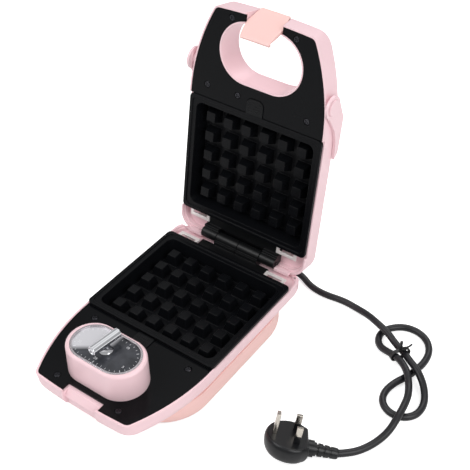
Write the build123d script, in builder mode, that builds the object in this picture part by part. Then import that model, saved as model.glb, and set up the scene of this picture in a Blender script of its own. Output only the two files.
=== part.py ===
from build123d import *
import os
from math import cos, pi, radians, sin, sqrt, tan

os.makedirs("parts", exist_ok=True)

# Sandwich and waffle maker, lid open, standing on its feet. Millimetres, Z up.
# X runs from left to right seen from the front, Y from the front to the hinge.
# The pieces of the lid are modelled on the closed lid and then swung open.

# Cooking plates
plate_width = 130.0
plate_length = 112.0
plate_front = -50.5
plate_rear = plate_front + plate_length
plate_middle = (plate_front + plate_rear) / 2
plate_face = 44.0
face_gap = 0.6

# Lid hinge
hinge_y = plate_front + 128.8
hinge_z = plate_face + face_gap / 2
open_angle = 98.7
hinge_axis = Axis((0, hinge_y, hinge_z), (1, 0, 0))

# Casing in plan
half_width = 66.0
casing_front = -133.5
casing_rear = 83.0
flank_radius = 178.0
front_bow = 1.9
front_corner = 5.5
shoulder_corner = 13.0
closed_corner = 24.0
rear_corner = 14.0
wall = 2.8

# Casing in height: rim, start of the rounding and closed side of each shell
base_rim = 41.0
base_shoulder = 34.0
base_floor = 19.0
base_round = 15.0
lid_rim = 45.0
lid_shoulder = 61.0
lid_top = 70.7
lid_round = 10.0
lid_front_round = 20.0
round_steps = 4

# Inside the shells
floor_thick = 2.0
ledge_z = 34.0
ledge_thick = 2.0
base_rear_top = 38.4
tab_foot = 40.6
lid_web_z = 2 * hinge_z - ledge_z - ledge_thick

# Deck and lid panel
deck_thick = 2.0
deck_top = 40.8
deck_rear = plate_front + 4.8
panel_face = 45.2
deck_screw_places = [(-31, -122.5), (31, -122.5), (-48.5, -59.5), (48.5, -59.5)]
lid_screw_places = [(-30, -125.5), (30, -125.5), (-48.5, -62.5), (48.5, -62.5), (-18, -62.5)]
post_radius = 3.2
pilot_radius = 1.1

# Pedestal, its feet and its screws
pedestal_half = 64.0
pedestal_front = -100.5
pedestal_rear = 74.5
pedestal_length = pedestal_rear - pedestal_front
pedestal_middle = (pedestal_rear + pedestal_front) / 2
pedestal_corner = 43.0
foot_places = [(-44, -66), (44, -66), (-44, 42), (44, 42)]
bottom_screw_places = [(-36, -84), (36, -84), (-47, 10), (47, 10)]
vent_y = -20.0

# Waffle plate's floor and blocks
plate_floor = plate_face - 14
block_pitch_x = 18.2
block_pitch_y = 18.6

# Heating element and reflector
heater_half = 32.0
heater_radius = 2.75
heater_z = 24.6
reflector_z = 21.05

# Release buttons
button_front = -64.5
button_top = 41.6
button_mirror_z = 43.0

# Hinge barrel
barrel_radius = 5.0
pin_radius = 1.5
base_knuckle = 22.8
knuckle_gap = 0.5

# Timer
timer_y = -97.6
tower_length = 70.5
tower_width = 42.6
tower_foot = 40.85
tower_top = 67.0
tower_draft = 1.0
dial_face = 66.0
knob_axis = 75.0
knob_radius = 3.85
knob_length = 27.0
knob_turn = 7.5

# Hand hole in the lid
hole_y = -99.8
hole_length = 76.0
hole_width = 49.5
hole_wall = 1.5
horn_gap = 34.0

# Latch, its pin and the catch in the base
latch_y = -131.2
latch_z = 60.2
latch_face = -134.3
latch_back = -131.9
latch_hang = 26.4
catch_width = 33.0
catch_z = 32.9

# Carry handle
bail_y = -79.5
bail_z = 50.0
bail_radius = 9.8
bail_inside = 65.5
bail_outside = 67.6
arm_inside = 66.3
arm_outside = 68.7
bar_inside_z = 71.3
bar_outside_z = 78.6

# Power cord, its bushing behind the pedestal, and its plug on the floor
cord_diameter = 6.0
gland_x = 14.0
gland_z = 13.2
neck_radius = 5.0
bushing_end = 90.0
plug_face = (142.8, -49.2, 17.1)
plug_x = (0.861, 0.476, -0.181)
plug_z = (0.006, 0.345, 0.938)
plug_thick = 15.5
pin_span = 16.9
relief_depth = 8.4
relief_end = 34.2


def casing_plan(height, inset, front_inset, corner):
    """Casing outline in plan: straight sides behind, bowed flanks and front."""
    side = half_width - inset
    front = casing_front + front_inset
    rear = casing_rear - inset
    reach = flank_radius - inset
    corner_y = front + front_bow
    corner_x = side - reach + sqrt(reach**2 - (corner_y - plate_front) ** 2)
    with BuildSketch(Plane.XY.offset(height)) as plan:
        with BuildLine():
            Polyline((side, plate_front), (side, rear), (-side, rear), (-side, plate_front))
            TangentArc((side, plate_front), (corner_x, corner_y), tangent=(0, -1))
            ThreePointArc((corner_x, corner_y), (0, front), (-corner_x, corner_y))
            TangentArc((-side, plate_front), (-corner_x, corner_y), tangent=(0, -1))
        make_face()
        fillet(plan.vertices().group_by(Axis.Y)[0], corner)
        fillet(plan.vertices().group_by(Axis.Y)[-1], rear_corner)
    return plan.sketch


def moulded_form(rim, shoulder, end, side_round, front_round, inset, mode=Mode.ADD):
    """Casing form from its rim, upright to the shoulder and rounded to its closed end."""
    rim_plan = casing_plan(rim, inset, inset, front_corner)
    loft([rim_plan, casing_plan(shoulder, inset, inset, shoulder_corner)], ruled=True, mode=mode)
    sections = []
    for step in range(round_steps + 1):
        turn = pi / 2 * step / round_steps
        height = shoulder + (end - shoulder) * sin(turn)
        side_inset = inset + (side_round - inset) * (1 - cos(turn))
        front_inset = inset + (front_round - inset) * (1 - cos(turn))
        corner = shoulder_corner + (closed_corner - shoulder_corner) * (1 - cos(turn))
        sections.append(casing_plan(height, side_inset, front_inset, corner))
    loft(sections, mode=mode)


def slab(x_range, y_range, z_range, mode=Mode.ADD):
    """Rectangular block between three pairs of limits."""
    size = [high - low for low, high in (x_range, y_range, z_range)]
    middle = [(high + low) / 2 for low, high in (x_range, y_range, z_range)]
    with Locations(tuple(middle)):
        Box(*size, mode=mode)


def swing_open(piece):
    """Turn a piece modelled on the closed lid to its place on the open lid."""
    piece.part = piece.part.rotate(hinge_axis, -open_angle)


def side_profile(points, x_from, x_to, mode=Mode.ADD):
    """Prism with its outline given as (Y, Z) points and its length along X."""
    with BuildSketch(Plane.YZ.offset(x_from)) as outline:
        with BuildLine():
            Polyline(*points, close=True)
        make_face()
    extrude(outline.sketch, amount=x_to - x_from, dir=(1, 0, 0), mode=mode)


def cross_rod(centre, radius, x_from, x_to, mode=Mode.ADD):
    """Round bar or bore along X."""
    with BuildSketch(Plane.YZ.offset(x_from)) as ring:
        with Locations(centre):
            Circle(radius)
    extrude(ring.sketch, amount=x_to - x_from, dir=(1, 0, 0), mode=mode)


def slot_prism(length, width, y, z_from, z_to, mode=Mode.ADD):
    """Upright prism with two round ends, long along X."""
    with BuildSketch(Plane.XY.offset(z_from)) as outline:
        with Locations((0, y)):
            SlotOverall(length, width)
    extrude(outline.sketch, amount=z_to - z_from, dir=(0, 0, 1), mode=mode)


def rounded_prism(x_size, y_size, corner, y, z_from, z_to, taper=0.0, mode=Mode.ADD):
    """Upright prism on a rounded rectangle, drawn in by a taper towards z_to."""
    with BuildSketch(Plane.XY.offset(z_from)) as outline:
        with Locations((0, y)):
            RectangleRounded(x_size, y_size, corner)
    direction = (0, 0, 1 if z_to > z_from else -1)
    extrude(outline.sketch, amount=abs(z_to - z_from), dir=direction, taper=taper, mode=mode)


def posts(places, radius, z_from, z_to, mode=Mode.ADD):
    """Round upright posts or bores."""
    middle = (z_from + z_to) / 2
    with Locations(*[(x, y, middle) for x, y in places]):
        Cylinder(radius, abs(z_to - z_from), mode=mode)


# Base shell: moulded tub with a ledge for the deck and a channel for the latch
with BuildPart() as base_form:
    moulded_form(base_rim, base_shoulder, base_floor, base_round, base_round, 0.0)

with BuildPart() as base_ledge:
    extrude(casing_plan(ledge_z, 1.0, 1.0, front_corner), amount=ledge_thick, dir=(0, 0, 1))
    slab((-70, 70), (plate_rear + 1, 90), (30, 45), Mode.INTERSECT)

with BuildPart() as catch_block:
    slab((-19.5, 19.5), (-134, -121.5), (20, deck_top - deck_thick - 0.05))
    add(base_form.part, mode=Mode.INTERSECT)

with BuildPart() as base_posts:
    posts(deck_screw_places, post_radius, 20.5, deck_top - deck_thick - 0.05)
    add(base_form.part, mode=Mode.INTERSECT)

with BuildPart() as base_shell:
    add(base_form.part)
    moulded_form(
        base_rim,
        base_shoulder,
        base_floor + floor_thick,
        base_round,
        base_round,
        wall,
        Mode.SUBTRACT,
    )
    extrude(
        casing_plan(deck_top - deck_thick, 1.8, 1.8, front_corner),
        amount=5,
        dir=(0, 0, 1),
        mode=Mode.SUBTRACT,
    )
    add(base_ledge.part)
    add(catch_block.part)
    add(base_posts.part)
    slab((-70, 70), (hinge_y - 1, 90), (base_rear_top, 45), Mode.SUBTRACT)
    channel = [
        (-140, 45),
        (-124, 45),
        (-124, base_rim),
        (-131.0, 34),
        (-131.0, catch_z),
        (-128.4, catch_z),
        (-128.4, 15),
        (-140, 15),
    ]
    side_profile(channel, -catch_width / 2, catch_width / 2, Mode.SUBTRACT)
    posts(deck_screw_places, pilot_radius, 24, 45, Mode.SUBTRACT)
    posts([(0, 40)], 8, 15, 25, Mode.SUBTRACT)

base_shell.part.label = "base_shell"
export_step(base_shell.part, "parts/base_shell.step")

# Pedestal: lower housing that cradles the shell, closed below
with BuildPart() as pedestal:
    sections = []
    for height, swell in ((5.0, -2.0), (8.0, 0.5), (14.0, 1.2), (24.0, 0.0)):
        with BuildSketch(Plane.XY.offset(height)) as outline:
            with Locations((0, pedestal_middle)):
                RectangleRounded(
                    2 * (pedestal_half + swell),
                    pedestal_length + 2 * swell,
                    pedestal_corner + swell,
                )
        sections.append(outline.sketch)
    loft(sections)
    rounded_prism(
        2 * (pedestal_half - 2),
        pedestal_length - 4,
        pedestal_corner - 2,
        pedestal_middle,
        7.4,
        base_floor,
        mode=Mode.SUBTRACT,
    )
    posts(bottom_screw_places, 4.2, 7, base_floor)
    add(base_form.part, mode=Mode.SUBTRACT)
    posts(bottom_screw_places, 3.5, 0, 8.5, Mode.SUBTRACT)
    posts(bottom_screw_places, 1.5, 8, 17.5, Mode.SUBTRACT)
    posts(foot_places, 4.0, 0, 7.4, Mode.SUBTRACT)
    with Locations((gland_x, 74, gland_z)):
        Cylinder(neck_radius, 12, rotation=(90, 0, 0), mode=Mode.SUBTRACT)
    with BuildSketch(Plane.XY.offset(2)) as vents:
        with Locations((0, vent_y)):
            with GridLocations(0, 7, 1, 5):
                SlotOverall(34, 3)
    extrude(vents.sketch, amount=8, dir=(0, 0, 1), mode=Mode.SUBTRACT)

pedestal.part.label = "pedestal"
export_step(pedestal.part, "parts/pedestal.step")

# Rubber feet: pads with pegs pushed into the pedestal
with BuildPart() as rubber_feet:
    posts(foot_places, 7.5, 0, 4.9)
    chamfer(rubber_feet.edges().group_by(Axis.Z)[0], 0.8)
    posts(foot_places, 3.9, 4.8, 7.2)

rubber_feet.part.label = "rubber_feet"
export_step(rubber_feet.part, "parts/rubber_feet.step")

# Bottom screws, sunk in the pedestal
with BuildPart() as bottom_screws:
    posts(bottom_screw_places, 3.0, 6.2, 8.4)
    posts(bottom_screw_places, 1.4, 8.3, 17.0)

bottom_screws.part.label = "bottom_screws"
export_step(bottom_screws.part, "parts/bottom_screws.step")

# Deck: gloss top panel in front of the plate, with counterbores for its screws
with BuildPart() as base_deck:
    extrude(
        casing_plan(deck_top - deck_thick, 1.95, 1.95, front_corner),
        amount=deck_thick,
        dir=(0, 0, 1),
    )
    slab((-70, 70), (-140, deck_rear), (30, 50), Mode.INTERSECT)
    slab((-18, 18), (-140, -123.5), (30, 50), Mode.SUBTRACT)
    rounded_prism(16.6, 28.0, 5.3, button_front + 13.7, 35, 45, mode=Mode.SUBTRACT)
    slot_prism(52, 26, timer_y, 35, 45, Mode.SUBTRACT)
    posts(deck_screw_places, 1.6, 35, 45, Mode.SUBTRACT)
    posts(deck_screw_places, 2.9, deck_top - 1.2, 45, Mode.SUBTRACT)

base_deck.part.label = "base_deck"
export_step(base_deck.part, "parts/base_deck.step")

with BuildPart() as deck_screws:
    posts(deck_screw_places, 2.5, deck_top - 1.2, deck_top - 0.1)
    posts(deck_screw_places, pilot_radius - 0.02, 28, deck_top - 1.1)

deck_screws.part.label = "deck_screws"
export_step(deck_screws.part, "parts/deck_screws.step")

# Waffle plate: flange stepped down to a tapered bowl, with a grid of blocks
with BuildPart() as base_waffle_plate:
    rounded_prism(plate_width, plate_length, 4, plate_middle, base_rim, plate_face)
    rounded_prism(120, 102, 9, plate_middle, base_rim, 27.5, taper=12)
    rounded_prism(124, 106, 4.5, plate_middle, plate_face - 1, plate_face, mode=Mode.SUBTRACT)
    rounded_prism(117, 99, 6.5, plate_middle, plate_face, plate_floor, taper=14, mode=Mode.SUBTRACT)
    with BuildSketch(Plane.XY.offset(plate_floor)) as block_grid:
        with Locations((0, plate_middle)):
            with GridLocations(block_pitch_x, block_pitch_y, 6, 5):
                Rectangle(13, 13)
    extrude(block_grid.sketch, amount=9, dir=(0, 0, 1), taper=14)

base_waffle_plate.part.label = "base_waffle_plate"
export_step(base_waffle_plate.part, "parts/base_waffle_plate.step")

closed_mirror = Plane.XY.offset(hinge_z)

with BuildPart() as lid_waffle_plate:
    mirror(base_waffle_plate.part, about=closed_mirror)

swing_open(lid_waffle_plate)
lid_waffle_plate.part.label = "lid_waffle_plate"
export_step(lid_waffle_plate.part, "parts/lid_waffle_plate.step")

# Heating elements: U-shaped tubes with thinner terminals, one under each plate
with BuildPart() as base_heater:
    with BuildLine() as heater_path:
        Line((-heater_half, 46, heater_z), (-heater_half, -8, heater_z))
        ThreePointArc(
            (-heater_half, -8, heater_z),
            (0, -8 - heater_half, heater_z),
            (heater_half, -8, heater_z),
        )
        Line((heater_half, -8, heater_z), (heater_half, 46, heater_z))
    with BuildSketch(Plane((-heater_half, 46, heater_z), z_dir=(0, -1, 0))) as tube_section:
        Circle(heater_radius)
    sweep(tube_section.sketch, path=heater_path.wire())
    with Locations((-heater_half, 49, heater_z), (heater_half, 49, heater_z)):
        Cylinder(1.2, 8, rotation=(90, 0, 0))

base_heater.part.label = "base_heater"
export_step(base_heater.part, "parts/base_heater.step")

with BuildPart() as lid_heater:
    mirror(base_heater.part, about=closed_mirror)

swing_open(lid_heater)
lid_heater.part.label = "lid_heater"
export_step(lid_heater.part, "parts/lid_heater.step")

# Reflectors: shallow sheet trays behind the elements
with BuildPart() as base_reflector:
    rounded_prism(92, 106, 8, plate_middle, reflector_z, reflector_z + 2.2)
    rounded_prism(91, 105, 7.5, plate_middle, reflector_z + 0.5, reflector_z + 4, mode=Mode.SUBTRACT)
    posts([(0, 40)], 5, 15, 25, Mode.SUBTRACT)

base_reflector.part.label = "base_reflector"
export_step(base_reflector.part, "parts/base_reflector.step")

with BuildPart() as lid_reflector:
    mirror(base_reflector.part, about=closed_mirror)

swing_open(lid_reflector)
lid_reflector.part.label = "lid_reflector"
export_step(lid_reflector.part, "parts/lid_reflector.step")

# Thermostat and thermal fuse, between the legs of the lower element
with BuildPart() as thermostat:
    posts([(0, plate_middle)], 8.2, reflector_z + 0.55, 27.4)
    with Locations((-11, plate_middle, 24), (11, plate_middle, 24)):
        Box(8, 5, 0.8)

thermostat.part.label = "thermostat"
export_step(thermostat.part, "parts/thermostat.step")

with BuildPart() as thermal_fuse:
    with Locations((0, -14, 24)):
        Cylinder(1.9, 16, rotation=(0, 90, 0))
        Cylinder(0.5, 34, rotation=(0, 90, 0))

thermal_fuse.part.label = "thermal_fuse"
export_step(thermal_fuse.part, "parts/thermal_fuse.step")

# Terminal block on the pedestal's floor
with BuildPart() as terminal_block:
    slab((4, 30), (50, 62), (7.45, 17))
    with Locations((8.5, 56, 17), (17, 56, 17), (25.5, 56, 17)):
        Cylinder(2.4, 5, mode=Mode.SUBTRACT)

terminal_block.part.label = "terminal_block"
export_step(terminal_block.part, "parts/terminal_block.step")

# Timer tower: drafted housing with round ends and a recess for bezel and dial
with BuildPart() as timer_tower:
    with BuildSketch(Plane.XY.offset(tower_foot)) as tower_outline:
        with Locations((0, timer_y)):
            SlotOverall(tower_length, tower_width)
    extrude(tower_outline.sketch, amount=tower_top - tower_foot, dir=(0, 0, 1), taper=tower_draft)
    fillet(timer_tower.edges().group_by(Axis.Z)[-1], 2.5)
    with BuildSketch(Plane.XY.offset(tower_foot)) as tower_inside:
        with Locations((0, timer_y)):
            SlotOverall(tower_length - 5, tower_width - 5)
    extrude(
        tower_inside.sketch,
        amount=tower_top - 4.5 - tower_foot,
        dir=(0, 0, 1),
        taper=tower_draft,
        mode=Mode.SUBTRACT,
    )
    slot_prism(62.2, 37.2, timer_y, tower_top - 2, 70, Mode.SUBTRACT)
    posts([(0, timer_y)], 3.2, 55, 70, Mode.SUBTRACT)

timer_tower.part.label = "timer_tower"
export_step(timer_tower.part, "parts/timer_tower.step")

with BuildPart() as dial_plate:
    slot_prism(62, 37, timer_y, dial_face - 1, dial_face)
    posts([(0, timer_y)], 3.2, 55, 70, Mode.SUBTRACT)

dial_plate.part.label = "dial_plate"
export_step(dial_plate.part, "parts/dial_plate.step")

with BuildPart() as timer_bezel:
    slot_prism(62, 37, timer_y, dial_face, tower_top + 0.3)
    slot_prism(58.5, 33.5, timer_y, dial_face - 1, tower_top + 1, Mode.SUBTRACT)

timer_bezel.part.label = "timer_bezel"
export_step(timer_bezel.part, "parts/timer_bezel.step")

# Timer knob: round bar across a flared hub, on the timer's shaft
with BuildPart() as timer_knob:
    with BuildSketch(Plane.XZ.offset(-timer_y)) as hub_half:
        with BuildLine():
            hub_side = Spline((6.0, dial_face + 0.2), (4.3, 69.0), (3.5, knob_axis - 3))
            Line(hub_side @ 1, (3.5, knob_axis))
            Line((3.5, knob_axis), (0, knob_axis))
            Line((0, knob_axis), (0, dial_face + 0.2))
            Line((0, dial_face + 0.2), hub_side @ 0)
        make_face()
    revolve(hub_half.sketch, axis=Axis((0, timer_y, 0), (0, 0, 1)))
    bar_start = (
        -knob_length / 2 * sin(radians(knob_turn)),
        timer_y - knob_length / 2 * cos(radians(knob_turn)),
        knob_axis,
    )
    bar_dir = (sin(radians(knob_turn)), cos(radians(knob_turn)), 0)
    with BuildSketch(Plane(bar_start, z_dir=bar_dir)) as bar_section:
        Circle(knob_radius)
    extrude(bar_section.sketch, amount=knob_length)
    posts([(0, timer_y)], 2.5, 60, 70, Mode.SUBTRACT)

timer_knob.part.label = "timer_knob"
export_step(timer_knob.part, "parts/timer_knob.step")

with BuildPart() as timer_shaft:
    posts([(0, timer_y)], 2.48, 50, 69.9)

timer_shaft.part.label = "timer_shaft"
export_step(timer_shaft.part, "parts/timer_shaft.step")

# Timer mechanism: two plates on pillars round the spring barrel, with its bell below
with BuildPart() as timer_mechanism:
    slab((-22, 22), (timer_y - 14, timer_y + 14), (60.8, 62.3))
    slab((-22, 22), (timer_y - 14, timer_y + 14), (47.0, 48.5))
    pillars = [(x, timer_y + y) for x in (-19, 19) for y in (-11, 11)]
    posts(pillars, 1.8, 48, 61)
    posts([(0, timer_y)], 10.5, 48, 61)
    posts([(0, timer_y)], 2.55, 45, 65, Mode.SUBTRACT)

timer_mechanism.part.label = "timer_mechanism"
export_step(timer_mechanism.part, "parts/timer_mechanism.step")

with BuildPart() as timer_bell:
    posts([(0, timer_y)], 12, 42.0, 46.9)
    fillet(timer_bell.edges().group_by(Axis.Z)[-1], 3)
    posts([(0, timer_y)], 11, 41, 45.9, Mode.SUBTRACT)

timer_bell.part.label = "timer_bell"
export_step(timer_bell.part, "parts/timer_bell.step")

# Release buttons: ribbed caps with a retaining lip under the panel
with BuildPart() as base_release_button:
    rounded_prism(16, 27.4, 5, button_front + 13.7, 36.8, button_top)
    rounded_prism(18.6, 30, 6, button_front + 13.7, 36.8, 38.5)
    slab((-10, 10), (button_front - 2, button_front + 13.7), (30, 50), Mode.INTERSECT)
    with Locations(*[(0, button_front + 3.2 + 2.4 * rib, button_top) for rib in range(4)]):
        Box(12, 1.0, 1.0, mode=Mode.SUBTRACT)

base_release_button.part.label = "base_release_button"
export_step(base_release_button.part, "parts/base_release_button.step")

with BuildPart() as lid_release_button:
    mirror(base_release_button.part, about=Plane.XY.offset(button_mirror_z))

swing_open(lid_release_button)
lid_release_button.part.label = "lid_release_button"
export_step(lid_release_button.part, "parts/lid_release_button.step")

# Clips behind the plates: bent strips that hold the plates' rear flange
with BuildPart() as base_plate_clips:
    for side in (-1, 1):
        inner = 36 * side
        outer = 56.5 * side
        low, high = sorted((inner, outer))
        slab((low, high), (65.8, 68.8), (40.6, 42.1))
        slab((low, low + 3), (plate_rear + 0.2, 66), (40.6, 42.1))
        slab((high - 3, high), (plate_rear + 0.2, 66), (40.6, 42.1))
        slab((low + 6, high - 6), (67.3, 68.8), (ledge_z + ledge_thick, 41))

base_plate_clips.part.label = "base_plate_clips"
export_step(base_plate_clips.part, "parts/base_plate_clips.step")

with BuildPart() as lid_plate_clips:
    mirror(base_plate_clips.part, about=closed_mirror)

swing_open(lid_plate_clips)
lid_plate_clips.part.label = "lid_plate_clips"
export_step(lid_plate_clips.part, "parts/lid_plate_clips.step")

# Hinge: base bracket with the two middle knuckles, lid bracket with the outer ones
with BuildPart() as base_hinge_bracket:
    slab((-35.6, 35.6), (plate_rear + 0.5, 72), (ledge_z + ledge_thick, 40.6))
    for low in (knuckle_gap / 2, -base_knuckle):
        high = low + base_knuckle - knuckle_gap / 2
        slab((low, high), (71, hinge_y + 1.7), (ledge_z + ledge_thick, hinge_z))
        cross_rod((hinge_y, hinge_z), barrel_radius, low, high)
    cross_rod((hinge_y, hinge_z), pin_radius + 0.05, -40, 40, Mode.SUBTRACT)

base_hinge_bracket.part.label = "base_hinge_bracket"
export_step(base_hinge_bracket.part, "parts/base_hinge_bracket.step")

with BuildPart() as lid_hinge_bracket:
    slab((-39, 39), (plate_rear + 0.5, 72), (48, lid_web_z))
    slab((-22.3, 22.3), (71.9, 79), (50.3, lid_web_z))
    for low in (base_knuckle + knuckle_gap, -39):
        high = low + 39 - base_knuckle - knuckle_gap
        slab((low, high), (71, hinge_y + 1.7), (hinge_z, lid_web_z))
        cross_rod((hinge_y, hinge_z), barrel_radius, low, high)
    cross_rod((hinge_y, hinge_z), pin_radius + 0.05, -40, 40, Mode.SUBTRACT)

swing_open(lid_hinge_bracket)
lid_hinge_bracket.part.label = "lid_hinge_bracket"
export_step(lid_hinge_bracket.part, "parts/lid_hinge_bracket.step")

with BuildPart() as hinge_pin:
    cross_rod((hinge_y, hinge_z), pin_radius, -39.5, 39.5)

hinge_pin.part.label = "hinge_pin"
export_step(hinge_pin.part, "parts/hinge_pin.step")

# Lid shell: moulded cover with the hand hole through it
with BuildPart() as lid_form:
    moulded_form(lid_rim, lid_shoulder, lid_top, lid_round, lid_front_round, 0.0)

with BuildPart() as hole_wall_tube:
    slot_prism(hole_length + 2 * hole_wall, hole_width + 2 * hole_wall, hole_y, lid_rim, 75)
    add(lid_form.part, mode=Mode.INTERSECT)

with BuildPart() as lid_inside:
    slab((-horn_gap / 2, horn_gap / 2), (-140, -122), (lid_rim, 63))
    slab((-19.5, 19.5), (-140, -126), (55.5, 66))
    slab((-70, 70), (plate_rear + 1, 90), (lid_web_z, lid_web_z + 2))
    posts(lid_screw_places, 3.6, panel_face + deck_thick + 0.05, lid_top)
    add(lid_form.part, mode=Mode.INTERSECT)

with BuildPart() as latch_room:
    with BuildSketch(Plane.XZ.offset(122)) as room_outline:
        with BuildLine():
            Polyline(
                (-13.4, 64.8),
                (-17.1, 46),
                (-17.1, 40),
                (17.1, 40),
                (17.1, 46),
                (13.4, 64.8),
                close=True,
            )
        make_face()
    extrude(room_outline.sketch, amount=18)
    room_side = [(-141, 64.8), (-127.8, 64.8), (-127.8, 53.2), (-121.9, 41.3), (-121.9, 39), (-141, 39)]
    side_profile(room_side, -18, 18, Mode.INTERSECT)

with BuildPart() as lid_shell:
    add(lid_form.part)
    for side in (-1, 1):
        low, high = sorted((62.3 * side, (bail_inside - 0.25) * side))
        cross_rod((bail_y, bail_z), 4.8, low, high)
        cross_rod((bail_y, bail_z), 3.0, low, high, Mode.SUBTRACT)
    moulded_form(
        lid_rim,
        lid_shoulder,
        lid_top - floor_thick,
        lid_round,
        lid_front_round,
        wall,
        Mode.SUBTRACT,
    )
    extrude(
        casing_plan(lid_rim, 1.4, 1.4, front_corner),
        amount=panel_face + deck_thick - lid_rim,
        dir=(0, 0, 1),
        mode=Mode.SUBTRACT,
    )
    add(hole_wall_tube.part)
    add(lid_inside.part)
    slot_prism(hole_length, hole_width, hole_y, 40, 75, Mode.SUBTRACT)
    slab((-70, 70), (plate_front - 0.3, plate_rear + 0.4), (40, 47.7), Mode.SUBTRACT)
    for side in (-1, 1):
        low, high = sorted((39.3 * side, 54 * side))
        slab((low, high), (casing_rear - wall, casing_rear), (tab_foot, 46))
    slab((-39.3, 39.3), (72, 90), (40, lid_web_z - 2), Mode.SUBTRACT)
    add(latch_room.part, mode=Mode.SUBTRACT)
    cross_rod((latch_y, latch_z), pin_radius, -18.1, 18.1, Mode.SUBTRACT)
    posts(lid_screw_places, pilot_radius, 40, 58, Mode.SUBTRACT)

swing_open(lid_shell)
lid_shell.part.label = "lid_shell"
export_step(lid_shell.part, "parts/lid_shell.step")

# Lid panel: gloss inner panel, two horns round the hand hole
with BuildPart() as lid_panel:
    extrude(casing_plan(panel_face, 1.5, 1.5, front_corner), amount=deck_thick, dir=(0, 0, 1))
    slab((-70, 70), (-140, plate_front - 0.4), (30, 50), Mode.INTERSECT)
    around_hole = 2 * hole_wall + 0.2
    slot_prism(hole_length + around_hole, hole_width + around_hole, hole_y, 40, 50, Mode.SUBTRACT)
    slab((-horn_gap / 2 - 0.1, horn_gap / 2 + 0.1), (-140, hole_y), (40, 50), Mode.SUBTRACT)
    rounded_prism(16.6, 28.0, 5.3, button_front + 13.7, 35, 50, mode=Mode.SUBTRACT)
    posts(lid_screw_places, 1.6, 40, 50, Mode.SUBTRACT)
    posts(lid_screw_places, 2.9, 40, panel_face + 1.2, Mode.SUBTRACT)

swing_open(lid_panel)
lid_panel.part.label = "lid_panel"
export_step(lid_panel.part, "parts/lid_panel.step")

with BuildPart() as lid_screws:
    posts(lid_screw_places, 2.5, panel_face + 0.1, panel_face + 1.2)
    posts(lid_screw_places, pilot_radius - 0.02, panel_face + 1.1, 57)

swing_open(lid_screws)
lid_screws.part.label = "lid_screws"
export_step(lid_screws.part, "parts/lid_screws.step")

# Latch: hooked flap on a pin in the lid's front, hanging inwards while the lid is open
with BuildPart() as latch:
    flap = [
        (latch_face, 62.4),
        (latch_face + 0.9, 63.3),
        (latch_back, 63.3),
        (latch_back, 32.4),
        (-129.6, 32.4),
        (-129.6, 30.9),
        (-130.4, 29.9),
        (-132.2, 29.9),
        (-133.5, 33.0),
        (latch_face, 38.0),
    ]
    side_profile(flap, -17, 17)
    with BuildSketch(Plane.XZ.offset(125)) as front_outline:
        with BuildLine():
            Polyline(
                (-12.9, 64),
                (-16.2, 47.5),
                (-15.4, 40),
                (-13.2, 29),
                (13.2, 29),
                (15.4, 40),
                (16.2, 47.5),
                (12.9, 64),
                close=True,
            )
        make_face()
    extrude(front_outline.sketch, amount=15, mode=Mode.INTERSECT)
    cross_rod((latch_y, latch_z), 2.7, -12.6, 12.6)
    cross_rod((latch_y, latch_z), pin_radius + 0.05, -20, 20, Mode.SUBTRACT)

latch.part = latch.part.rotate(Axis((0, latch_y, latch_z), (1, 0, 0)), latch_hang)
swing_open(latch)
latch.part.label = "latch"
export_step(latch.part, "parts/latch.step")

with BuildPart() as latch_pin:
    cross_rod((latch_y, latch_z), pin_radius - 0.02, -18, 18)

swing_open(latch_pin)
latch_pin.part.label = "latch_pin"
export_step(latch_pin.part, "parts/latch_pin.step")

# Carry handle: bail over the lid, cut from an arch by its side profile
with BuildPart() as carry_handle:
    with BuildSketch(Plane.XZ.offset(-bail_y - 60)) as arch:
        with Locations((0, bar_outside_z - 25)):
            Rectangle(2 * arm_outside, 50)
        fillet(arch.vertices().group_by(Axis.Y)[-1], 14)
        with Locations((0, bar_inside_z - 20)):
            RectangleRounded(2 * bail_inside, 40, 9.6, mode=Mode.SUBTRACT)
        with Locations((0, 35)):
            Rectangle(2 * bail_inside, 20, mode=Mode.SUBTRACT)
    extrude(arch.sketch, amount=90, dir=(0, -1, 0))
    with BuildSketch(Plane.YZ.offset(-75)) as blade:
        with BuildLine():
            Polyline(
                (-84.3, 58.6),
                (-57.9, 74.0),
                (-44, bar_outside_z),
                (-39.5, 77.6),
                (-33.4, 67.3),
                (-29.5, 62.6),
                (-45.2, 61.0),
                (-57.1, 56.2),
                (-73.5, 44.4),
                (bail_y, bail_z),
                close=True,
            )
        make_face()
        with Locations((bail_y, bail_z)):
            Circle(bail_radius)
    extrude(blade.sketch, amount=150, dir=(1, 0, 0), mode=Mode.INTERSECT)
    with BuildSketch(Plane.XY.offset(30)) as flare:
        for side in (-1, 1):
            with BuildLine():
                Polyline(
                    (60 * side, -70),
                    (bail_inside * side, -70),
                    (arm_inside * side, -56),
                    (arm_inside * side, -10),
                    (60 * side, -10),
                    close=True,
                )
            make_face()
            with BuildLine():
                Polyline(
                    (80 * side, -100),
                    (bail_outside * side, -100),
                    (bail_outside * side, -70),
                    (arm_outside * side, -56),
                    (80 * side, -56),
                    close=True,
                )
            make_face()
    extrude(flare.sketch, amount=bar_inside_z - 30, dir=(0, 0, 1), mode=Mode.SUBTRACT)
    cross_rod((bail_y, bail_z), 3.06, -80, 80, Mode.SUBTRACT)

swing_open(carry_handle)
carry_handle.part.label = "carry_handle"
export_step(carry_handle.part, "parts/carry_handle.step")

with BuildPart() as handle_caps:
    cross_rod((bail_y, bail_z), 7, bail_outside, bail_outside + 1.3)
    cross_rod((bail_y, bail_z), 7, -bail_outside - 1.3, -bail_outside)
    chamfer(handle_caps.edges().group_by(Axis.X)[0] + handle_caps.edges().group_by(Axis.X)[-1], 0.6)

swing_open(handle_caps)
handle_caps.part.label = "handle_caps"
export_step(handle_caps.part, "parts/handle_caps.step")

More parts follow.
